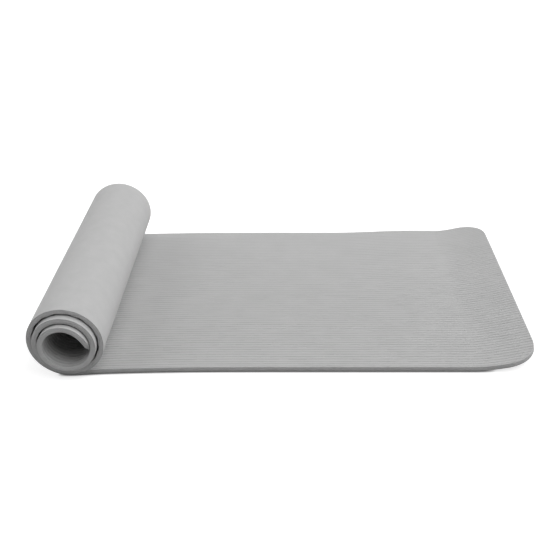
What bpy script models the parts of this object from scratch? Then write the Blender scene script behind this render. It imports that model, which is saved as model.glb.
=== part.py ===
"""A foam exercise mat that lies flat on the floor, with one end still rolled up.

The mat is one sheet of closed-cell foam. It bends everywhere, so it is modelled as rigid stretches of
that sheet, joined by bending seams: the lying run, the strips of the roll's outer turn, the turns
wound inside it, and the strips of the free end.

The frame is in metres. The floor is at height zero, +X runs along the mat towards its free end, +Y across
it, away from the side that is seen first, and +Z up. The origin is on the floor, under the middle of the
stretch that lies quite flat, halfway across the mat.

A place on the sheet is a section: the line across the underside, the line across the top and the heading
there. The heading is zero on the floor and grows round the roll, a full turn for each winding.
"""
import math

import bpy
from mathutils import Vector

# The sheet as it is cut
MAT_LENGTH = 2.028
MAT_WIDTH = 0.600
MAT_THICKNESS = 0.010
CORNER_RADIUS = 0.0675

# The roll: the underside's radius where it leaves the floor, the air between one turn and the next, how
# much flatter it is at its foot and top than at its sides, and how many turns it has
ROLL_RADIUS = 0.0804
TURN_GAP = 0.0029
ROLL_SAG = 0.0008
ROLL_TURNS = 2.871

# The sheet's inner end springs outwards, against the turn around it
INNER_END_SPRING = 0.0022
INNER_END_SPRING_REACH = 0.090

# The windings creep sideways, towards the near side: up to the foot of the roll, then at a steady slope
FOOT_CREEP = 0.0108
FOOT_CREEP_REACH = 0.42
ROLL_CREEP_SLOPE = 0.0284

# The free end curls up, more at its far corner, and draws in as it climbs. A long low wave lies under it and
# before it at the far side
CURL_REACH = 0.111
CURL_RISE_NEAR = 0.021
CURL_RISE_FAR = 0.031
CURL_ONSET_SHARE = 0.10
CURL_DRAW_SHARE = 0.85
WAVE_RISE = 0.0058
WAVE_FROM_END = 0.181
WAVE_REACH = 0.206

# The bending seams
SEAM_GAP = 0.0003
STRIPS_PER_TURN = 16
END_STRIP_LENGTH = 0.040
END_STRIPS = 6

# How finely the sheet's curves are cut into flat faces, and the step over which a slope is taken
FACETS_PER_TURN = 32
CORNER_FACETS = 6
LYING_FACET = 0.045
END_FACET = 0.010
SLOPE_STEP = 0.001

# The foam: a mid grey, matt
FOAM_COLOUR = (0.45, 0.45, 0.45, 1.0)
FOAM_ROUGHNESS = 0.85

# How often a bracket is halved when a heading is looked for
HALVINGS = 60

FULL_TURN = 2.0 * math.pi
TIGHTENING = (MAT_THICKNESS + TURN_GAP) / FULL_TURN
INNER_END_HEADING = ROLL_TURNS * FULL_TURN
STRIP_HEADING = FULL_TURN / STRIPS_PER_TURN
FACET_HEADING = FULL_TURN / FACETS_PER_TURN


def rolled_length(heading):
    """Length of the underside from the foot of the roll to a heading."""
    sag = ROLL_SAG * math.sin(2.0 * heading) / 2.0
    return ROLL_RADIUS * heading - TIGHTENING * heading * heading / 2.0 + sag


def heading_at(length):
    """The heading where the underside has run a length from the foot of the roll."""
    low, high = 0.0, INNER_END_HEADING
    for _ in range(HALVINGS):
        middle = (low + high) / 2.0
        if rolled_length(middle) < length:
            low = middle
        else:
            high = middle
    return (low + high) / 2.0


ROLLED_LENGTH = rolled_length(INNER_END_HEADING)
LYING_LENGTH = MAT_LENGTH - ROLLED_LENGTH
FLAT_LENGTH = LYING_LENGTH - WAVE_FROM_END - WAVE_REACH
FOOT_X = -FLAT_LENGTH / 2.0


def roll_point(heading):
    """The underside at a heading round the roll, as x and z: its radius of curvature, summed up."""
    sine, cosine = math.sin(heading), math.cos(heading)
    sag_x = ROLL_SAG * (math.sin(3.0 * heading) / 6.0 + sine / 2.0)
    sag_z = ROLL_SAG * ((1.0 - math.cos(3.0 * heading)) / 6.0 + (cosine - 1.0) / 2.0)
    x = ROLL_RADIUS * sine - TIGHTENING * (heading * sine + cosine - 1.0) + sag_x
    z = ROLL_RADIUS * (1.0 - cosine) - TIGHTENING * (sine - heading * cosine) + sag_z
    return FOOT_X - x, z


def creep(travel):
    """How far the sheet has moved to the near side, travel being its distance past the foot of the roll."""
    if travel >= 0.0:
        return FOOT_CREEP + ROLL_CREEP_SLOPE * travel
    share = max(0.0, 1.0 + travel / FOOT_CREEP_REACH)
    return FOOT_CREEP * share ** 3


def corner_inset(from_end):
    """How far each side edge draws in at a distance from the sheet's end, for the rounded corner."""
    if from_end >= CORNER_RADIUS:
        return 0.0
    short = CORNER_RADIUS - from_end
    return CORNER_RADIUS - math.sqrt(max(0.0, CORNER_RADIUS ** 2 - short ** 2))


def curl_share(from_end):
    """How far the curl has climbed at a distance from the free end, 1 at the end itself."""
    share = max(0.0, 1.0 - from_end / CURL_REACH)
    return share * share * (1.0 + CURL_ONSET_SHARE) / (share + CURL_ONSET_SHARE)


def curl_rise(across_share):
    """How high the curl climbs in all, across_share running from the near side to the far."""
    return CURL_RISE_NEAR + (CURL_RISE_FAR - CURL_RISE_NEAR) * across_share


def drawn_in(from_end, across_share):
    """How far the curl has drawn the sheet back, since the sheet keeps its length up the slope."""
    return CURL_DRAW_SHARE * curl_share(from_end) * curl_rise(across_share) ** 2 / CURL_REACH


def rise(from_end, across_share):
    """Height of the underside over the floor near the free end."""
    height = curl_share(from_end) * curl_rise(across_share)
    off_crest = abs(from_end - WAVE_FROM_END)
    if off_crest < WAVE_REACH:
        height += WAVE_RISE * across_share * (1.0 + math.cos(math.pi * off_crest / WAVE_REACH)) / 2.0
    return height


def side_edges(travel, from_end):
    """The sheet's near and far edge, across the mat."""
    inset = corner_inset(from_end)
    middle = -creep(travel)
    half = MAT_WIDTH / 2.0 - inset
    return middle - half, middle + half


def upright(heading):
    """The direction from the underside to the top, where the sheet has a heading."""
    return Vector((math.sin(heading), 0.0, math.cos(heading)))


def spring(from_inner_end):
    """How far the sheet's inner end has sprung outwards."""
    return INNER_END_SPRING * max(0.0, 1.0 - from_inner_end / INNER_END_SPRING_REACH) ** 2


def rolled_section(heading, shift=0.0):
    """A cut across the roll, moved along the sheet by shift: underside near and far, top far and near."""
    x, z = roll_point(heading)
    length = rolled_length(heading)
    near, far = side_edges(length, ROLLED_LENGTH - length)
    x -= shift * math.cos(heading)
    z += shift * math.sin(heading)
    outwards = upright(heading) * -spring(ROLLED_LENGTH - length)
    low_near, low_far = Vector((x, near, z)) + outwards, Vector((x, far, z)) + outwards
    through = upright(heading) * MAT_THICKNESS
    return [low_near, low_far, low_far + through, low_near + through]


def lean(from_end, across_share):
    """The sheet's heading near the free end: it climbs towards the end, so the heading is below zero."""
    climb = rise(from_end, across_share) - rise(from_end + SLOPE_STEP, across_share)
    return -math.atan2(climb, SLOPE_STEP)


def lying_section(from_end):
    """A cut across the lying stretch at a distance from the free end."""
    along = LYING_LENGTH - from_end
    low, high = [], []
    for y in side_edges(-along, from_end):
        across_share = 0.5 + (y + creep(-along)) / MAT_WIDTH
        x = FOOT_X + along - drawn_in(from_end, across_share)
        underside = Vector((x, y, rise(from_end, across_share)))
        low.append(underside)
        high.append(underside + upright(lean(from_end, across_share)) * MAT_THICKNESS)
    return [low[0], low[1], high[1], high[0]]


def seam_heading(number):
    """The heading of a seam in the outer turn; the first is half a strip past the foot."""
    return (number - 0.5) * STRIP_HEADING


def seam_from_end(number):
    """Distance of a seam in the free end from the sheet's end; seam 1 is the furthest in."""
    return (END_STRIPS + 1 - number) * END_STRIP_LENGTH


def rolled_hinge(number):
    """The line a seam of the outer turn bends about, on the underside: its middle and direction."""
    x, z = roll_point(seam_heading(number))
    return Vector((x, 0.0, z)), Vector((0.0, -1.0, 0.0))


def end_hinge(number):
    """The line a seam of the free end bends about, on the top face: its middle and direction."""
    _, _, far, near = lying_section(seam_from_end(number))
    return (near + far) / 2.0, (near - far).normalized()


def steps_between(start, stop, facet):
    """Places from start to stop, evenly spaced and about a facet apart."""
    count = max(1, round(abs(stop - start) / facet))
    return [start + (stop - start) * step / count for step in range(count + 1)]


def corner_steps():
    """Distances from the sheet's end at which its rounded corner is cut, the largest first."""
    quarter = [math.pi / 2.0 * step / CORNER_FACETS for step in range(CORNER_FACETS + 1)]
    return [CORNER_RADIUS * (1.0 - math.cos(angle)) for angle in reversed(quarter)]


def roll_strip_sections(number):
    """One strip of the outer turn, between two seams, cut from its inner end to its outer one."""
    half_gap = SEAM_GAP / 2.0
    steps = steps_between(seam_heading(number + 1), seam_heading(number), FACET_HEADING)
    between = [rolled_section(heading) for heading in steps[1:-1]]
    return [rolled_section(steps[0], -half_gap)] + between + [rolled_section(steps[-1], half_gap)]


def inner_roll_sections():
    """The wound turns, from the rounded inner end of the sheet to the last seam."""
    last = seam_heading(STRIPS_PER_TURN)
    corner = [heading_at(ROLLED_LENGTH - from_end) for from_end in reversed(corner_steps())]
    winding = steps_between(corner[-1], last, FACET_HEADING)
    wound = [rolled_section(heading) for heading in corner + winding[1:-1]]
    return wound + [rolled_section(last, SEAM_GAP / 2.0)]


def flat_run_sections():
    """The lying stretch, from the foot of the roll to the first seam of the free end."""
    half_gap = SEAM_GAP / 2.0
    wave_start = WAVE_FROM_END + WAVE_REACH
    flat = steps_between(LYING_LENGTH, wave_start, LYING_FACET)
    wavy = steps_between(wave_start, seam_from_end(1) + half_gap, LYING_FACET)
    first = rolled_section(seam_heading(1), -half_gap)
    return [first] + [lying_section(from_end) for from_end in flat + wavy[1:]]


def end_strip_sections(number):
    """One strip of the free end; the last two hold the rounded corners."""
    half_gap = SEAM_GAP / 2.0
    start = seam_from_end(number) - half_gap
    stop = seam_from_end(number + 1) + half_gap if number < END_STRIPS else 0.0
    corner = [place for place in corner_steps() if stop < place < start]
    straight_stop = max(stop, min(start, CORNER_RADIUS))
    straight = steps_between(start, straight_stop, END_FACET) if straight_stop < start else [start]
    places = straight + [place for place in corner if place < straight[-1]]
    if places[-1] > stop:
        places.append(stop)
    return [lying_section(from_end) for from_end in places]


def sheet_stretch(name, sections):
    """A closed solid through its sections, from the roll's end of the sheet towards its free end.

    Its two end faces are cut along the same diagonal, so that they stay apart from their neighbours' where
    the sheet is twisted.
    """
    vertices = [corner for section in sections for corner in section]
    faces = [(2, 1, 0), (3, 2, 0)]
    for index in range(len(sections) - 1):
        here, there = 4 * index, 4 * index + 4
        for corner in range(4):
            following = (corner + 1) % 4
            faces.append((here + corner, here + following, there + following, there + corner))
    last = 4 * (len(sections) - 1)
    faces += [(last, last + 1, last + 2), (last, last + 2, last + 3)]
    mesh = bpy.data.meshes.new(name)
    mesh.from_pydata(vertices, [], faces)
    mesh.validate()
    return mesh


def foam_material(name):
    """Matt grey foam."""
    material = bpy.data.materials.new(name + "_foam")
    material.use_nodes = True
    shader = material.node_tree.nodes["Principled BSDF"]
    shader.inputs["Base Color"].default_value = FOAM_COLOUR
    shader.inputs["Roughness"].default_value = FOAM_ROUGHNESS
    shader.inputs["Metallic"].default_value = 0.0
    return material


def add_stretch(name, sections, hinge=None, parent=None):
    """One stretch of the sheet as an object, its origin on the line that it bends about."""
    mesh = sheet_stretch(name, sections)
    stretch = bpy.data.objects.new(name, mesh)
    bpy.context.scene.collection.objects.link(stretch)
    mesh.materials.append(foam_material(name))
    if hinge:
        place, _ = hinge
        for vertex in mesh.vertices:
            vertex.co -= place
        stretch.location = place - (parent["hinge_place"] if parent else Vector())
        stretch.parent = parent["object"] if parent else None
    return {"object": stretch, "hinge_place": hinge[0] if hinge else Vector()}


def build_roll(flat_run):
    """The outer turn's strips, each carried by the one before, and the wound turns on the last."""
    carrier = flat_run
    for number in range(1, STRIPS_PER_TURN):
        sections = roll_strip_sections(number)
        carrier = add_stretch(f"outer_turn_{number:02d}", sections, rolled_hinge(number), carrier)
    add_stretch("inner_roll", inner_roll_sections(), rolled_hinge(STRIPS_PER_TURN), carrier)


def build_free_end(flat_run):
    """The free end's strips, each carried by the one before."""
    carrier = flat_run
    for number in range(1, END_STRIPS + 1):
        carrier = add_stretch(f"free_end_{number}", end_strip_sections(number), end_hinge(number), carrier)


def build_mat():
    """The whole mat."""
    for old in list(bpy.data.objects):
        bpy.data.objects.remove(old)
    flat_run = add_stretch("flat_run", flat_run_sections())
    build_roll(flat_run)
    build_free_end(flat_run)


build_mat()
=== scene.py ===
"""The looks of a foam exercise mat that lies flat on the floor, with one end still rolled up.

Every stretch of the mat comes from one Geometry Nodes tree. It sweeps the ribbed cross-section along a
stretch of the flat sheet, rounds the sheet's corners and edges, and then winds the sheet into the roll
or lays it on the floor. The sheet's course has the formulas of the construction, except that here the
curl of the free end starts more softly and the near edge stands a little off the floor. The stretches
that hold a seam of the construction are left where they lie and attached to no body.

Distance along the sheet is counted from the foot of the roll: above zero it runs into the roll, below
zero it runs along the floor to the free end. Lengths are in metres.
"""
import math
from types import SimpleNamespace

import bpy
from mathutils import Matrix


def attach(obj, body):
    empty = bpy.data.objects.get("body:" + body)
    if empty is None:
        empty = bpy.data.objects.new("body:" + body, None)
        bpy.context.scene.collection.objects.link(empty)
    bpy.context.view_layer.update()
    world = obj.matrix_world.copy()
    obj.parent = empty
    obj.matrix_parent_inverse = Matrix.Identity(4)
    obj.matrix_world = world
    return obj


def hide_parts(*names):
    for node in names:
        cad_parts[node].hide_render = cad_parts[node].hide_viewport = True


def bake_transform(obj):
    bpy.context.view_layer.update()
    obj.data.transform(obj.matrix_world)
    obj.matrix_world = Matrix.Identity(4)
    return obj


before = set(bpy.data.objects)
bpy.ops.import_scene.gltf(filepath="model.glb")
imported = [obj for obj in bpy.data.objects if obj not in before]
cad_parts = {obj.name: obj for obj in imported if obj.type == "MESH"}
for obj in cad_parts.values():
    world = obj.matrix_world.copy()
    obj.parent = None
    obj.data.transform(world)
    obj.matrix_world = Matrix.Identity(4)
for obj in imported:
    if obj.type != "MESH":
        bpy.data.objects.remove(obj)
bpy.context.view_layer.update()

# The mat's sizes, which are also the named inputs of its node tree
MAT = SimpleNamespace(
    mat_length=2.028,
    mat_width=0.600,
    mat_thickness=0.010,
    corner_radius=0.0675,
    edge_radius=0.0009,
    ribs=70.0,
    rib_depth=0.0014,
    rib_unlikeness=0.45,
    rib_fade=0.72,
    unevenness=0.0005,
    roll_radius=0.0804,
    turn_gap=0.0029,
    roll_sag=0.0008,
    roll_turns=2.871,
    inner_end_spring=0.0022,
    inner_end_spring_reach=0.090,
    foot_creep=0.0108,
    foot_creep_reach=0.42,
    roll_creep_slope=0.0284,
    curl_reach=0.130,
    curl_rise_near=0.021,
    curl_rise_far=0.031,
    curl_onset_share=0.60,
    curl_draw_share=0.995,
    wave_rise=0.0058,
    wave_from_end=0.181,
    wave_reach=0.206,
    near_edge_lift=0.0026,
    near_edge_lift_reach=0.030,
)

# The seams of the construction
STRIPS_PER_TURN = 16
END_STRIP_LENGTH = 0.040
END_STRIPS = 6

# The points of the cross-section: on each rib, round each side edge, and across the underside
POINTS_PER_RIB = 8
SIDE_STEPS = 7
UNDER_STEPS = 12

# How steeply a groove is cut between two ribs
GROOVE_POWER = 3.0

# How closely the grooves vary along and across the mat, and how closely its surface rolls, per metre; the
# second pattern is read at a height of its own
GROOVE_WANDER = (22.0, 110.0)
UNEVEN_WANDER = 11.0
UNEVEN_HEIGHT = 0.5

# The middle of a noise that runs from 0 to 1, and how far the one of the grooves is stretched about it
NOISE_MIDDLE = 0.5
GROOVE_STRETCH = 4.0

# Cuts along each kind of stretch, and how far they crowd towards a rounded end
LYING_CUT = 0.018
CUTS_PER_STRIP = 6
END_STRIP_CUTS = 12
CUTS_PER_TURN = 64
TIP_CUTS = 10
INNER_END_CUTS = 20
INNER_END_LENGTH = 0.070
EVEN = 1.0
CROWDED = 2.0

# Small steps: the one over which a slope is taken, and the one within which two points are one
SLOPE_STEP = 0.001
MERGE_STEP = 0.00001

# How many tries bring the heading at a length close enough
HEADING_TRIES = 2

# How much of each strip's bow is taken off its ribbed side, so that it lies flat when unrolled
BOW_SHARE = 0.85

# Where a face counts as cut foam, by its sideways tilt on the flat sheet, and as the end of a stretch, by
# its number of neighbours, which is 4 for every other face
CUT_TILT = 0.6
END_FACE_NEIGHBOURS = 4.5

# The looks of the three foams. A pattern has its scale per metre and its detail; a contrast is what the
# pattern adds to the brightness, and a polish what it adds to the roughness. The plain roughness is for a
# viewer that reads no patterns. The depth is that of the dents.
FOAM_SPECULAR = 0.2
RIBBED_LOOK = SimpleNamespace(
    grey=(0.450, 0.450, 0.450, 1.0),
    plain_roughness=0.85,
    brightness=1.02,
    roughness=0.80,
    depth=0.00025,
    mottle=(14.0, 4.0),
    mottle_contrast=0.10,
    mottle_polish=0.15,
    grain=(700.0, 2.0),
    grain_contrast=0.10,
    embossing=(240.0, 2.0),
    embossing_dents=0.5,
    # Painted shade in the grooves, by their depth
    groove_darkness=0.32,
    groove_polish=0.10,
)
SMOOTH_LOOK = SimpleNamespace(
    grey=(0.450, 0.450, 0.450, 1.0),
    plain_roughness=0.75,
    brightness=1.0,
    roughness=0.70,
    depth=0.0002,
    blotches=(38.0, 5.0),
    blotch_contrast=0.16,
    blotch_polish=0.30,
    blotch_dents=2.0,
    skin=(520.0, 3.0),
    skin_contrast=0.06,
)
CUT_LOOK = SimpleNamespace(
    grey=(0.405, 0.405, 0.405, 1.0),
    plain_roughness=0.9,
    brightness=0.92,
    roughness=0.86,
    depth=0.0003,
    pores=850.0,
    pore_wall=1.6,
    pore_contrast=0.16,
    mottle=(60.0, 3.0),
    mottle_contrast=0.12,
    mottle_polish=0.12,
    blade_pull=(30.0, 30.0, 900.0),
    blade_pull_pattern=(1.0, 2.0),
    blade_pull_contrast=0.10,
    blade_pull_dents=0.6,
    # Painted shade: how high up from the underside the cut faces are darkened, and how much, as where the
    # mat meets the floor
    rim_height=0.0022,
    rim_darkness=0.45,
)

# Each light's strength, its width in degrees, and its turn in degrees
LIGHTS = {
    "right_light": (2.70, 75.0, (0.0, 45.0, 0.0)),
    "left_light": (1.60, 70.0, (0.0, -65.0, 0.0)),
    "back_light": (0.45, 90.0, (-45.0, 0.0, 0.0)),
    "front_light": (0.42, 30.0, (26.0, 0.0, 0.0)),
}

# The floor, its own glow, and how the glow dims in the narrow crack under the mat's edge
WHITE = (1.0, 1.0, 1.0, 1.0)
FLOOR_SIZE = 40.0
FLOOR_GREY = (0.54, 0.54, 0.54, 1.0)
FLOOR_GLOW = 0.70
CRACK_REACH = 0.007
CRACK_SHARPNESS = 1.25
CRACK_POWER = 2.0

# The camera
CAMERA_PLACE = (0.1662, -1.643, 0.960)
CAMERA_TURN = (math.radians(60.65), 0.0, 0.0)
CAMERA_SENSOR = 36.0
CAMERA_LENS = 54.02
CAMERA_SHIFT = (-0.0259, 0.0018)

FULL_TURN = 2.0 * math.pi
STRIP_HEADING = FULL_TURN / STRIPS_PER_TURN


class Number:
    """A number in a node tree. Its sums, products and powers add the nodes that work them out."""

    def __init__(self, tree, socket):
        self.tree = tree
        self.socket = socket

    def through(self, operation, *others):
        return worked(self.tree, operation, self, *others)

    def __add__(self, other):
        return self.through("ADD", other)

    def __sub__(self, other):
        return self.through("SUBTRACT", other)

    def __mul__(self, other):
        return self.through("MULTIPLY", other)

    def __truediv__(self, other):
        return self.through("DIVIDE", other)

    def __pow__(self, other):
        return self.through("POWER", other)

    def __neg__(self):
        return self.through("MULTIPLY", -1.0)

    def __abs__(self):
        return self.through("ABSOLUTE")

    def __rsub__(self, other):
        return worked(self.tree, "SUBTRACT", other, self)

    __radd__ = __add__
    __rmul__ = __mul__


def worked(tree, operation, *terms):
    """What one Math node makes of its terms, as a Number."""
    node = tree.nodes.new("ShaderNodeMath")
    node.operation = operation
    for socket, term in zip(node.inputs, terms):
        plug(tree, socket, term)
    return Number(tree, node.outputs[0])


def plug(tree, socket, source):
    """Feeds a socket from a Number, from another node's socket or with a plain value."""
    if isinstance(source, Number):
        tree.links.new(source.socket, socket)
    elif isinstance(source, bpy.types.NodeSocket):
        tree.links.new(source, socket)
    else:
        socket.default_value = source


def add_node(tree, kind, sources=None, **settings):
    """A node with its settings, its sockets fed by name."""
    node = tree.nodes.new(kind)
    for name, value in settings.items():
        setattr(node, name, value)
    for name, source in (sources or {}).items():
        plug(tree, node.inputs[name], source)
    return node


def noise(tree, place, scale, detail=1.0):
    """Soft noise between 0 and 1, over places on the flat sheet."""
    sources = {"Vector": place, "Scale": scale, "Detail": detail}
    return Number(tree, add_node(tree, "ShaderNodeTexNoise", sources).outputs[0])


def vector(tree, x, y, z):
    return add_node(tree, "ShaderNodeCombineXYZ", {"X": x, "Y": y, "Z": z}).outputs[0]


def parts_of(tree, source):
    """The three Numbers of a vector."""
    node = add_node(tree, "ShaderNodeSeparateXYZ", {"Vector": source})
    return [Number(tree, socket) for socket in node.outputs]


def either(operation, plain, *terms):
    """A Math node's result if any term is a Number, or else the plain function of the terms."""
    for term in terms:
        if isinstance(term, Number):
            return worked(term.tree, operation, *terms)
    return plain(*terms)


def sine(angle):
    return either("SINE", math.sin, angle)


def cosine(angle):
    return either("COSINE", math.cos, angle)


def arc_tangent(climb, run):
    return either("ARCTAN2", math.atan2, climb, run)


def square_root(value):
    return either("SQRT", math.sqrt, value)


def larger(one, other):
    return either("MAXIMUM", max, one, other)


def smaller(one, other):
    return either("MINIMUM", min, one, other)


# The sheet's course. Each formula takes plain numbers and a node tree's Numbers alike; mat holds the
# sizes, as numbers or as the tree's inputs.
def tightening(mat):
    """How fast the roll's radius of curvature falls with its heading."""
    return (mat.mat_thickness + mat.turn_gap) / FULL_TURN


def curvature_radius(heading, mat):
    return mat.roll_radius - tightening(mat) * heading + mat.roll_sag * cosine(2.0 * heading)


def rolled_length(heading, mat):
    """Length of the underside from the foot of the roll to a heading."""
    sag = mat.roll_sag * sine(2.0 * heading) / 2.0
    return mat.roll_radius * heading - tightening(mat) * heading * heading / 2.0 + sag


def heading_at(length, mat):
    """The heading where the underside has run a length into the roll: a root, then closer tries."""
    wound = tightening(mat)
    root = square_root(mat.roll_radius * mat.roll_radius - 2.0 * wound * length)
    heading = (mat.roll_radius - root) / wound
    for _ in range(HEADING_TRIES):
        heading = heading - (rolled_length(heading, mat) - length) / curvature_radius(heading, mat)
    return heading


def full_rolled_length(mat):
    return rolled_length(mat.roll_turns * FULL_TURN, mat)


def lying_length(mat):
    return mat.mat_length - full_rolled_length(mat)


def foot_x(mat):
    """Where the roll's foot is: the origin lies under the middle of the stretch that is quite flat."""
    return (mat.wave_from_end + mat.wave_reach - lying_length(mat)) / 2.0


def roll_point(heading, mat):
    """The underside at a heading round the roll, as x and z."""
    sine_1, cosine_1, wound = sine(heading), cosine(heading), tightening(mat)
    sag_x = mat.roll_sag * (sine(3.0 * heading) / 6.0 + sine_1 / 2.0)
    sag_z = mat.roll_sag * ((1.0 - cosine(3.0 * heading)) / 6.0 + (cosine_1 - 1.0) / 2.0)
    x = mat.roll_radius * sine_1 - wound * (heading * sine_1 + cosine_1 - 1.0) + sag_x
    z = mat.roll_radius * (1.0 - cosine_1) - wound * (sine_1 - heading * cosine_1) + sag_z
    return foot_x(mat) - x, z


def creep(rolled, lying, mat):
    """How far the sheet has moved to the near side."""
    share = larger(1.0 - lying / mat.foot_creep_reach, 0.0)
    return mat.foot_creep * share ** 3.0 + mat.roll_creep_slope * rolled


def quarter_round(from_end, radius):
    """How far a quarter round of a radius draws in, at a distance from the end."""
    short = larger(radius - from_end, 0.0)
    return radius - square_root(larger(radius * radius - short * short, 0.0))


def curl_share(from_end, mat):
    """How far the curl has climbed at a distance from the free end, 1 at the end itself."""
    share = larger(1.0 - from_end / mat.curl_reach, 0.0)
    return share * share * (1.0 + mat.curl_onset_share) / (share + mat.curl_onset_share)


def curl_rise(across_share, mat):
    """How high the curl climbs in all, across_share running from the near side to the far."""
    return mat.curl_rise_near + (mat.curl_rise_far - mat.curl_rise_near) * across_share


def drawn_in(from_end, across_share, mat):
    """How far the curl has drawn the sheet back, since the sheet keeps its length up the slope."""
    climb = curl_rise(across_share, mat)
    return mat.curl_draw_share * curl_share(from_end, mat) * climb * climb / mat.curl_reach


def rise(from_end, across_share, mat):
    """Height of the underside over the floor near the free end."""
    off_crest = smaller(abs(from_end - mat.wave_from_end) / mat.wave_reach, 1.0)
    wave = mat.wave_rise * across_share * (1.0 + cosine(math.pi * off_crest)) / 2.0
    return curl_share(from_end, mat) * curl_rise(across_share, mat) + wave


def lean(from_end, across_share, mat):
    """The heading of the lying sheet, below zero where it climbs towards its end."""
    climb = rise(from_end, across_share, mat) - rise(from_end + SLOPE_STEP, across_share, mat)
    return -arc_tangent(climb, SLOPE_STEP)


def spring(from_inner_end, mat):
    """How far the sheet's inner end has sprung outwards, against the turn around it."""
    share = larger(1.0 - from_inner_end / mat.inner_end_spring_reach, 0.0)
    return mat.inner_end_spring * share * share


def edge_lift(lying, across_share, mat):
    """How far the lying sheet's near edge stands off the floor, though not where the roll presses it."""
    share = larger(1.0 - across_share * mat.mat_width / mat.near_edge_lift_reach, 0.0)
    from_foot = smaller(lying / (2.0 * mat.near_edge_lift_reach), 1.0)
    return mat.near_edge_lift * share * share * from_foot * from_foot * (3.0 - 2.0 * from_foot)


def bow(heading, mat):
    """How far the sheet bows between the middle of one strip of the outer turn and the next."""
    depth = curvature_radius(heading, mat) * (1.0 - math.cos(STRIP_HEADING / 2.0))
    return depth * (1.0 - cosine(STRIPS_PER_TURN * heading)) / 2.0


def laid(distance, across, up, mat):
    """A place on the flat sheet as it lies in the mat: x, y, z and the sheet's heading there."""
    rolled, lying = larger(distance, 0.0), larger(-distance, 0.0)
    heading = heading_at(rolled, mat)
    x, z = roll_point(heading, mat)
    up = up - spring(full_rolled_length(mat) - distance, mat)
    from_end = lying_length(mat) + distance
    across_share = 0.5 + across / mat.mat_width
    heading = heading + lean(from_end, across_share, mat)
    x = x + lying - drawn_in(from_end, across_share, mat) + up * sine(heading)
    y = across - creep(rolled, lying, mat)
    z = z + rise(from_end, across_share, mat) + edge_lift(lying, across_share, mat)
    return x, y, z + up * cosine(heading), heading


# The node tree of a stretch of the mat, in the order of its steps
def field(tree, kind):
    """The first output of a node without inputs, such as each point's number or place."""
    return tree.nodes.new(kind).outputs[0]


def changed(tree, kind, mesh, sources, **settings):
    """The geometry after one more node."""
    return add_node(tree, kind, {"Geometry": mesh, **sources}, **settings).outputs[0]


def captured(tree, geometry, domain, kind, values):
    """Keeps values on the geometry while it is reshaped; returns the geometry and the kept values."""
    node = add_node(tree, "GeometryNodeCaptureAttribute", domain=domain)
    node.capture_items.new(kind, "Kept")
    plug(tree, node.inputs["Geometry"], geometry)
    plug(tree, node.inputs["Kept"], values)
    return node.outputs["Geometry"], node.outputs["Kept"]


def stored(tree, mesh, name, kind, values):
    """Stores values on the points under a name that the foams' materials read."""
    sources = {"Name": name, "Value": values}
    settings = {"data_type": kind, "domain": "POINT"}
    return changed(tree, "GeometryNodeStoreNamedAttribute", mesh, sources, **settings)


def label_of(name):
    """The label in the tree of one of the mat's sizes."""
    return name.replace("_", " ").title()


def named_inputs(tree):
    """The tree's named inputs: which stretch is wanted, the foams, and the mat's sizes as Numbers."""
    for label in ("Start", "Stop", "Crowding", "Bow Share"):
        tree.interface.new_socket(label, in_out="INPUT", socket_type="NodeSocketFloat")
    tree.interface.new_socket("Cuts", in_out="INPUT", socket_type="NodeSocketInt")
    for label in ("Ribbed Foam", "Cut Foam", "Smooth Foam"):
        tree.interface.new_socket(label, in_out="INPUT", socket_type="NodeSocketMaterial")
    for name, size in vars(MAT).items():
        label = label_of(name)
        socket = tree.interface.new_socket(label, in_out="INPUT", socket_type="NodeSocketFloat")
        socket.default_value = size
    inputs = tree.nodes.new("NodeGroupInput").outputs
    mat = SimpleNamespace(**{name: Number(tree, inputs[label_of(name)]) for name in vars(MAT)})
    return inputs, mat


def swept_tube(tree, inputs, mat):
    """A plain tube with a ring of points for every cut; each point has its numbers round and along."""
    points = mat.ribs * POINTS_PER_RIB + (2 * SIDE_STEPS + UNDER_STEPS)
    circle = add_node(tree, "GeometryNodeCurvePrimitiveCircle", {"Resolution": points})
    index = field(tree, "GeometryNodeInputIndex")
    ring, around = captured(tree, circle.outputs["Curve"], "POINT", "FLOAT", index)
    line = add_node(tree, "GeometryNodeCurvePrimitiveLine").outputs["Curve"]
    cuts = {"Curve": line, "Count": Number(tree, inputs["Cuts"]) + 1.0}
    line = add_node(tree, "GeometryNodeResampleCurve", cuts).outputs["Curve"]
    factor = tree.nodes.new("GeometryNodeSplineParameter").outputs["Factor"]
    line, along = captured(tree, line, "POINT", "FLOAT", factor)
    sweep = {"Curve": line, "Profile Curve": ring, "Fill Caps": True}
    tube = add_node(tree, "GeometryNodeCurveToMesh", sweep)
    return tube.outputs["Mesh"], Number(tree, around), Number(tree, along)


def cross_section(around, mat):
    """A ring point's share of the width, its bulge past the side, its height, and its depth of groove.

    The ring runs over the ribs, down the far side, back underneath, and up the near side."""
    top = mat.ribs * POINTS_PER_RIB
    over = smaller(around, top)
    down = smaller(larger(around - top, 0.0), SIDE_STEPS)
    back = smaller(larger(around - top - SIDE_STEPS, 0.0), UNDER_STEPS)
    again = larger(around - top - (SIDE_STEPS + UNDER_STEPS), 0.0)
    turned = math.pi * (0.5 - (down + again) / SIDE_STEPS)
    share = 2.0 * over / top - 2.0 * back / UNDER_STEPS - 1.0
    straight = (mat.mat_thickness / 2.0 - mat.edge_radius) * sine(turned).through("SIGN")
    up = mat.mat_thickness / 2.0 + straight + mat.edge_radius * sine(turned)
    groove = abs(2.0 * (over / POINTS_PER_RIB + 0.5).through("FRACT") - 1.0) ** GROOVE_POWER
    return share, cosine(turned), up, groove


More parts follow.
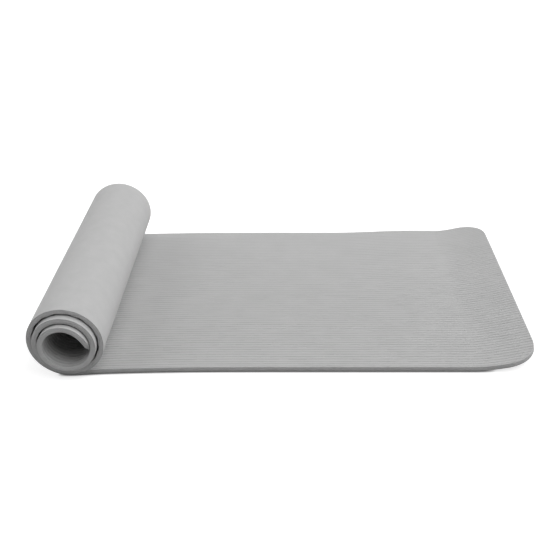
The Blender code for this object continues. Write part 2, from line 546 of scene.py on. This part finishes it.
def rounded_off(distance, share, bulge, mat):
    """A ring point drawn in by the sheet's rounded corners and edges.

    Gives its distance, its place across, how far the end's edge draws in there, and whether it still
    lies among the ribs."""
    from_free_end = lying_length(mat) + distance
    from_inner_end = full_rolled_length(mat) - distance
    from_end = larger(smaller(from_free_end, from_inner_end), 0.0)
    core = larger(from_end, mat.edge_radius)
    core_corner = mat.corner_radius - mat.edge_radius
    endways = larger((mat.corner_radius - core) / core_corner, 0.0)
    sideways = square_root(larger(1.0 - endways * endways, 0.0))
    half = mat.mat_width / 2.0 - mat.edge_radius
    limit = half - core_corner * (1.0 - sideways)
    across = larger(smaller(share * half, limit), -limit)
    among_ribs = abs(share * half).through("LESS_THAN", limit)
    across = across + mat.edge_radius * bulge * sideways
    point_from_end = smaller(from_end, core - mat.edge_radius * abs(bulge) * endways)
    endwards = (from_free_end - from_inner_end).through("SIGN")
    distance = distance + endwards * (from_end - point_from_end)
    return distance, across, quarter_round(point_from_end, mat.edge_radius), among_ribs


def unlike_ribs(tree, distance, across, mat):
    """How deep a groove is at a point: no two are alike, and they get shallower to the far side."""
    along, sideways = GROOVE_WANDER
    place = vector(tree, along * distance, sideways * across, 0.0)
    swing = GROOVE_STRETCH * (noise(tree, place, 1.0) - NOISE_MIDDLE)
    unlikeness = 1.0 + mat.rib_unlikeness * swing
    return unlikeness * (1.0 - mat.rib_fade * (0.5 + across / mat.mat_width))


def flat_place(tree, around, along, inputs, mat):
    """Where a point lies on the flat sheet with its corners and edges rounded, and its depth of groove."""
    start, stop = Number(tree, inputs["Start"]), Number(tree, inputs["Stop"])
    distance = stop - (stop - start) * (1.0 - along) ** Number(tree, inputs["Crowding"])
    share, bulge, up, groove = cross_section(around, mat)
    distance, across, edge, among_ribs = rounded_off(distance, share, bulge, mat)
    groove = groove * among_ribs * unlike_ribs(tree, distance, across, mat)
    up = up - mat.rib_depth * groove
    up = larger(smaller(up, mat.mat_thickness - edge), edge)
    heading = heading_at(larger(distance, 0.0), mat)
    up = up * (1.0 - Number(tree, inputs["Bow Share"]) * bow(heading, mat) / mat.mat_thickness)
    uneven = noise(tree, vector(tree, distance, across, UNEVEN_HEIGHT), UNEVEN_WANDER)
    return vector(tree, -distance, across, up + mat.unevenness * uneven), groove


def flat_stretch(tree, inputs, mat):
    """The stretch as it is on the flat sheet, with its faces outwards, and its depths of groove."""
    mesh, around, along = swept_tube(tree, inputs, mat)
    place, groove = flat_place(tree, around, along, inputs, mat)
    mesh, groove = captured(tree, mesh, "POINT", "FLOAT", groove)
    mesh = changed(tree, "GeometryNodeSetPosition", mesh, {"Position": place})
    mesh = changed(tree, "GeometryNodeMergeByDistance", mesh, {"Distance": MERGE_STEP})
    start, stop = Number(tree, inputs["Start"]), Number(tree, inputs["Stop"])
    backwards = start.through("GREATER_THAN", stop)
    outwards = add_node(tree, "GeometryNodeFlipFaces", {"Mesh": mesh, "Selection": backwards})
    neighbours = Number(tree, field(tree, "GeometryNodeInputMeshFaceNeighbors"))
    smooth = {"Shade Smooth": 1.0 - neighbours.through("GREATER_THAN", END_FACE_NEIGHBOURS)}
    return changed(tree, "GeometryNodeSetShadeSmooth", outwards.outputs[0], smooth), groove


def laid_stretch(tree, mesh, mat):
    """Winds or lays the stretch; returns it, and its places and its faces' directions on the flat sheet.

    It is lit by the flat sheet's normals, turned with it, so that it goes over into its neighbours
    unseen."""
    mesh, flat = captured(tree, mesh, "POINT", "VECTOR", field(tree, "GeometryNodeInputPosition"))
    mesh, corner = captured(tree, mesh, "CORNER", "VECTOR", field(tree, "GeometryNodeInputNormal"))
    mesh, facing = captured(tree, mesh, "FACE", "VECTOR", field(tree, "GeometryNodeInputNormal"))
    x, across, up = parts_of(tree, flat)
    x, y, z, heading = laid(-x, across, up, mat)
    mesh, heading = captured(tree, mesh, "POINT", "FLOAT", heading)
    mesh = changed(tree, "GeometryNodeSetPosition", mesh, {"Position": vector(tree, x, y, z)})
    turn = {"Vector": corner, "Angle": heading}
    normals = add_node(tree, "ShaderNodeVectorRotate", turn, rotation_type="Y_AXIS").outputs[0]
    sources = {"Mesh": mesh, "Custom Normal": normals}
    settings = {"mode": "TANGENT_SPACE", "domain": "CORNER"}
    lit = add_node(tree, "GeometryNodeSetMeshNormal", sources, **settings)
    return lit.outputs[0], flat, facing


def foams_set(tree, mesh, facing, inputs):
    """Ribbed foam on top, smooth foam underneath, and cut foam on the sides and ends."""
    x, y, z = parts_of(tree, facing)
    cut = larger(abs(x), abs(y)).through("GREATER_THAN", CUT_TILT)
    under = z.through("LESS_THAN", 0.0) * (1.0 - cut)
    mesh = changed(tree, "GeometryNodeSetMaterial", mesh, {"Material": inputs["Ribbed Foam"]})
    for label, faces in (("Smooth Foam", under), ("Cut Foam", cut)):
        sources = {"Selection": faces, "Material": inputs[label]}
        mesh = changed(tree, "GeometryNodeSetMaterial", mesh, sources)
    return mesh


def foam_stretch_tree():
    """The tree that makes one stretch of the mat."""
    tree = bpy.data.node_groups.new("foam_stretch", "GeometryNodeTree")
    for direction in ("INPUT", "OUTPUT"):
        tree.interface.new_socket("Geometry", in_out=direction, socket_type="NodeSocketGeometry")
    inputs, mat = named_inputs(tree)
    mesh, groove = flat_stretch(tree, inputs, mat)
    mesh, flat, facing = laid_stretch(tree, mesh, mat)
    mesh = stored(tree, mesh, "flat_place", "FLOAT_VECTOR", flat)
    mesh = stored(tree, mesh, "groove", "FLOAT", groove)
    mesh = changed(tree, "GeometryNodeRealizeInstances", mesh, {})
    mesh = foams_set(tree, mesh, facing, inputs)
    plug(tree, tree.nodes.new("NodeGroupOutput").inputs["Geometry"], mesh)
    return tree


# The foams
def foam_material(name, look):
    """A matt foam; returns the material, its tree, its shader and the place on the flat sheet."""
    material = bpy.data.materials.new(name)
    material.use_nodes = True
    tree = material.node_tree
    shader = tree.nodes["Principled BSDF"]
    shader.inputs["Base Color"].default_value = look.grey
    shader.inputs["Roughness"].default_value = look.plain_roughness
    shader.inputs["Specular IOR Level"].default_value = FOAM_SPECULAR
    place = add_node(tree, "ShaderNodeAttribute", attribute_name="flat_place").outputs["Vector"]
    return material, tree, shader, place


def finished_foam(tree, shader, look, brightness, roughness, height):
    """Gives the shader the grey at its brightness, the roughness, and dents of a real depth."""
    sources = {"Vector": look.grey[:3], "Scale": brightness}
    grey = add_node(tree, "ShaderNodeVectorMath", sources, operation="SCALE")
    plug(tree, shader.inputs["Base Color"], grey.outputs[0])
    plug(tree, shader.inputs["Roughness"], roughness)
    sources = {"Height": height, "Distance": look.depth, "Strength": 1.0}
    plug(tree, shader.inputs["Normal"], add_node(tree, "ShaderNodeBump", sources).outputs[0])


def ribbed_foam():
    """The side that one exercises on: embossed grain, and painted shade that darkens the grooves by their
    depth.
    """
    look = RIBBED_LOOK
    material, tree, shader, place = foam_material("ribbed_foam", look)
    groove = add_node(tree, "ShaderNodeAttribute", attribute_name="groove").outputs["Fac"]
    groove = Number(tree, groove)
    grain = noise(tree, place, *look.grain)
    embossing = noise(tree, place, *look.embossing)
    mottle = noise(tree, place, *look.mottle) - NOISE_MIDDLE
    brightness = look.brightness + look.mottle_contrast * mottle
    brightness = brightness + look.grain_contrast * (grain - NOISE_MIDDLE)
    # Painted shade: the grooves are darkened by their depth, as if shade fell in them.
    brightness = brightness - look.groove_darkness * groove
    roughness = look.roughness + look.mottle_polish * mottle + look.groove_polish * groove
    height = grain + look.embossing_dents * embossing
    finished_foam(tree, shader, look, brightness, roughness, height)
    return material


def smooth_foam():
    """The outer side of the roll: a closed skin, faintly blotched where it was pressed."""
    look = SMOOTH_LOOK
    material, tree, shader, place = foam_material("smooth_foam", look)
    blotches = noise(tree, place, *look.blotches)
    skin = noise(tree, place, *look.skin)
    brightness = look.brightness + look.blotch_contrast * (blotches - NOISE_MIDDLE)
    brightness = brightness + look.skin_contrast * (skin - NOISE_MIDDLE)
    roughness = look.roughness + look.blotch_polish * (blotches - NOISE_MIDDLE)
    height = skin + look.blotch_dents * blotches
    finished_foam(tree, shader, look, brightness, roughness, height)
    return material


def pores(tree, place, look):
    """0 in the middle of each small cell of the foam, and 1 at its wall."""
    cells = add_node(tree, "ShaderNodeTexVoronoi", {"Vector": place, "Scale": look.pores})
    return smaller(Number(tree, cells.outputs[0]) * look.pore_wall, 1.0)


def cut_foam():
    """Where the knife went through: open pores and the pull of the blade, with painted shade along the
    bottom of each cut face.
    """
    look = CUT_LOOK
    material, tree, shader, place = foam_material("cut_foam", look)
    cells = pores(tree, place, look)
    mottle = noise(tree, place, *look.mottle) - NOISE_MIDDLE
    pulled = add_node(tree, "ShaderNodeMapping", {"Vector": place, "Scale": look.blade_pull})
    pull = noise(tree, pulled.outputs[0], *look.blade_pull_pattern)
    # Painted shade: the cut faces darken towards the sheet's underside, as along the floor.
    painted_bottom_shade = larger(1.0 - parts_of(tree, place)[2] / look.rim_height, 0.0)
    brightness = look.brightness + look.pore_contrast * cells + look.mottle_contrast * mottle
    brightness = brightness + look.blade_pull_contrast * (pull - NOISE_MIDDLE)
    brightness = brightness - look.rim_darkness * painted_bottom_shade
    roughness = look.roughness + look.mottle_polish * mottle
    height = cells + look.blade_pull_dents * pull
    finished_foam(tree, shader, look, brightness, roughness, height)
    return material


# The stretches of the mat
def foam_stretch(name, tree, foams, start, stop, cuts, crowding=EVEN, bow_share=0.0):
    """One stretch of the mat as a finished piece."""
    mesh = bpy.data.meshes.new(name)
    piece = bpy.data.objects.new(name, mesh)
    bpy.context.scene.collection.objects.link(piece)
    modifier = piece.modifiers.new("foam_stretch", "NODES")
    modifier.node_group = tree
    wanted = {"Start": start, "Stop": stop, "Cuts": cuts, "Crowding": crowding, "Bow Share": bow_share}
    wanted.update(foams)
    wanted.update({label_of(size): value for size, value in vars(MAT).items()})
    for socket in tree.interface.items_tree:
        if socket.name in wanted and socket.in_out == "INPUT":
            modifier[socket.identifier] = wanted[socket.name]
    made = piece.evaluated_get(bpy.context.evaluated_depsgraph_get())
    finished = bpy.data.meshes.new_from_object(made)
    piece.modifiers.remove(modifier)
    piece.data = finished
    finished.name = name
    bpy.data.meshes.remove(mesh)
    return piece


def sheet_point(distance, up):
    """A place up from the underside, always half-way across, so that a seam runs straight across."""
    x, y, z, heading = laid(distance, 0.0, up, MAT)
    return x, 0.0, z


def roll_body(strip):
    """The body of a strip of the outer turn, counted from the foot of the roll."""
    if strip == 0:
        return "flat_run"
    if strip == STRIPS_PER_TURN:
        return "inner_roll"
    return f"outer_turn_{strip:02d}"


def end_body(strip):
    """The body of a strip of the free end, counted from the lying stretch."""
    return f"free_end_{strip}" if strip else "flat_run"


def lying_stretch(tree, foams):
    """The stretch on the floor, from the foot of the roll to the first seam of the free end."""
    end = -lying_length(MAT) + (END_STRIPS + 0.5) * END_STRIP_LENGTH
    piece = foam_stretch("lying_foam", tree, foams, end, 0.0, round(-end / LYING_CUT))
    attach(piece, "flat_run")
    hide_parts("flat_run")


def outer_turn(tree, foams):
    """Sixteen stretches round the outer turn, each with a seam in its middle."""
    for strip in range(1, STRIPS_PER_TURN + 1):
        start, stop = [rolled_length(turned * STRIP_HEADING, MAT) for turned in (strip - 1, strip)]
        name = f"outer_foam_{strip:02d}"
        piece = foam_stretch(name, tree, foams, start, stop, CUTS_PER_STRIP, bow_share=BOW_SHARE)
        ends = [sheet_point(distance, MAT.mat_thickness) for distance in (start, stop)]
        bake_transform(piece)
        if strip < STRIPS_PER_TURN:
            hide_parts(roll_body(strip))


def inner_turns(tree, foams):
    """The rest of the roll, which stays wound, and the sheet's rounded end inside it."""
    start, stop = rolled_length(FULL_TURN, MAT), full_rolled_length(MAT)
    middle = stop - INNER_END_LENGTH
    cuts = round(CUTS_PER_TURN * (heading_at(middle, MAT) / FULL_TURN - 1.0))
    piece = foam_stretch("wound_foam", tree, foams, start, middle, cuts)
    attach(piece, "inner_roll")
    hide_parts("inner_roll")
    piece = foam_stretch("inner_end_foam", tree, foams, middle, stop, INNER_END_CUTS, CROWDED)
    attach(piece, "inner_roll")


def free_end(tree, foams):
    """Six stretches with a seam in the middle of each, and the tip with its rounded corners."""
    end = -lying_length(MAT)
    for strip in range(1, END_STRIPS + 1):
        start = end + (END_STRIPS + 1.5 - strip) * END_STRIP_LENGTH
        stop = start - END_STRIP_LENGTH
        piece = foam_stretch(f"free_end_foam_{strip}", tree, foams, start, stop, END_STRIP_CUTS)
        ends = [sheet_point(distance, MAT.mat_thickness / 2.0) for distance in (start, stop)]
        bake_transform(piece)
        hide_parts(end_body(strip))
    start = end + END_STRIP_LENGTH / 2.0
    piece = foam_stretch("free_tip_foam", tree, foams, start, end, TIP_CUTS, CROWDED)
    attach(piece, end_body(END_STRIPS))


def make_mat():
    """All the stretches, from one tree and three foams."""
    tree = foam_stretch_tree()
    foams = {"Ribbed Foam": ribbed_foam(), "Cut Foam": cut_foam(), "Smooth Foam": smooth_foam()}
    lying_stretch(tree, foams)
    outer_turn(tree, foams)
    inner_turns(tree, foams)
    free_end(tree, foams)


# The floor, the light and the camera
def seen_directly(tree):
    """1 for what the camera sees itself, in a mirror or through glass, and 0 for light on the mat."""
    rays = add_node(tree, "ShaderNodeLightPath").outputs
    seen = Number(tree, rays["Is Camera Ray"])
    for name in ("Is Glossy Ray", "Is Transmission Ray"):
        seen = larger(seen, Number(tree, rays[name]))
    return seen


def in_the_open(tree):
    """1 on the open floor, and less in the narrow crack under the mat's edge."""
    around = add_node(tree, "ShaderNodeAmbientOcclusion", {"Distance": CRACK_REACH})
    open_share = Number(tree, around.outputs["AO"])
    return smaller((CRACK_SHARPNESS * open_share) ** CRACK_POWER, 1.0)


def floor_material():
    """A matt grey that looks white where nothing shades it."""
    material = bpy.data.materials.new("pale_floor")
    material.use_nodes = True
    tree = material.node_tree
    shader = tree.nodes["Principled BSDF"]
    shader.inputs["Base Color"].default_value = FLOOR_GREY
    shader.inputs["Roughness"].default_value = 1.0
    shader.inputs["Specular IOR Level"].default_value = 0.0
    shader.inputs["Emission Color"].default_value = WHITE
    glow = FLOOR_GLOW * seen_directly(tree) * in_the_open(tree)
    plug(tree, shader.inputs["Emission Strength"], glow)
    return material


def pale_floor():
    """A wide pale floor that takes the mat's shadow."""
    half = FLOOR_SIZE / 2.0
    corners = [(-half, -half, 0.0), (half, -half, 0.0), (half, half, 0.0), (-half, half, 0.0)]
    mesh = bpy.data.meshes.new("floor")
    mesh.from_pydata(corners, [], [(0, 1, 2, 3)])
    mesh.materials.append(floor_material())
    floor = bpy.data.objects.new("floor", mesh)
    bpy.context.scene.collection.objects.link(floor)


def white_world():
    """White behind everything, which gives no light of its own."""
    world = bpy.data.worlds.new("white_world")
    world.use_nodes = True
    tree = world.node_tree
    background = tree.nodes["Background"]
    background.inputs["Color"].default_value = WHITE
    plug(tree, background.inputs["Strength"], seen_directly(tree))
    bpy.context.scene.world = world


def soft_lights():
    """Wide soft lights: from the right, low from the left, and weaker ones from behind and in front."""
    for name, (strength, width, turn) in LIGHTS.items():
        lamp = bpy.data.lights.new(name, "SUN")
        lamp.energy = strength
        lamp.angle = math.radians(width)
        light = bpy.data.objects.new(name, lamp)
        light.rotation_euler = [math.radians(angle) for angle in turn]
        bpy.context.scene.collection.objects.link(light)


def camera():
    """The camera, at the photograph's viewing angle."""
    eye = bpy.data.cameras.new("camera")
    eye.sensor_width = CAMERA_SENSOR
    eye.lens = CAMERA_LENS
    eye.shift_x, eye.shift_y = CAMERA_SHIFT
    stand = bpy.data.objects.new("camera", eye)
    stand.location = CAMERA_PLACE
    stand.rotation_euler = CAMERA_TURN
    bpy.context.scene.collection.objects.link(stand)
    bpy.context.scene.camera = stand


camera()
soft_lights()
white_world()
pale_floor()
make_mat()
bpy.context.scene.view_settings.view_transform = "Standard"
